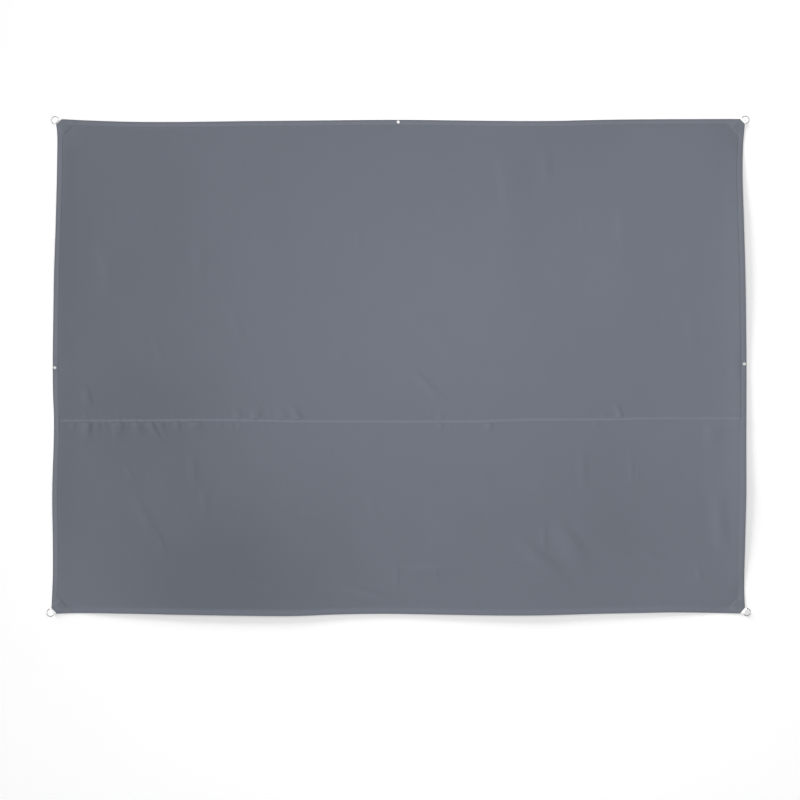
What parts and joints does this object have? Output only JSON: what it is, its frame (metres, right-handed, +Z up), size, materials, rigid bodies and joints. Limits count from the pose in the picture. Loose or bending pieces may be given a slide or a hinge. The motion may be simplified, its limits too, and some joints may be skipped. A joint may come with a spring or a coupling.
{
  "type": "shade sail",
  "caption": "Rectangular shade sail of plain woven cloth, with a lapped seam, hemmed edges, edge eyelets and a D-ring at each cut corner.",
  "frame": {"origin": "on the surface that the sail lies on, below the middle of its bounding box", "axes": "+X along the long side, +Y across the seam towards the edge with the eyelet, +Z up from the face that shows"},
  "size_m": [3.567, 2.5377, 0.0138],
  "materials": {
    "cloth": "plain grey-blue woven cloth, matt",
    "hem": "the same cloth, folded and stitched",
    "patch": "the same cloth, doubled over and stitched",
    "webbing": "white woven webbing",
    "ring": "polished round steel wire",
    "eyelet": "pressed bright metal"
  },
  "bodies": {
    "root": {"upper_panel": "cloth", "lower_panel": "cloth", "top_hem": "hem", "left_hem": "hem", "right_hem": "hem", "eyelet_top": "eyelet", "eyelet_left": "eyelet", "eyelet_right": "eyelet", "patch_top_left": "patch", "patch_top_right": "patch", "patch_bottom_left": "patch", "patch_bottom_right": "patch", "webbing_top_left": "webbing", "webbing_top_right": "webbing", "webbing_bottom_left": "webbing", "webbing_bottom_right": "webbing", "ring_top_left": "ring", "ring_top_right": "ring", "ring_bottom_left": "ring", "ring_bottom_right": "ring"}
  },
  "joints": []
}
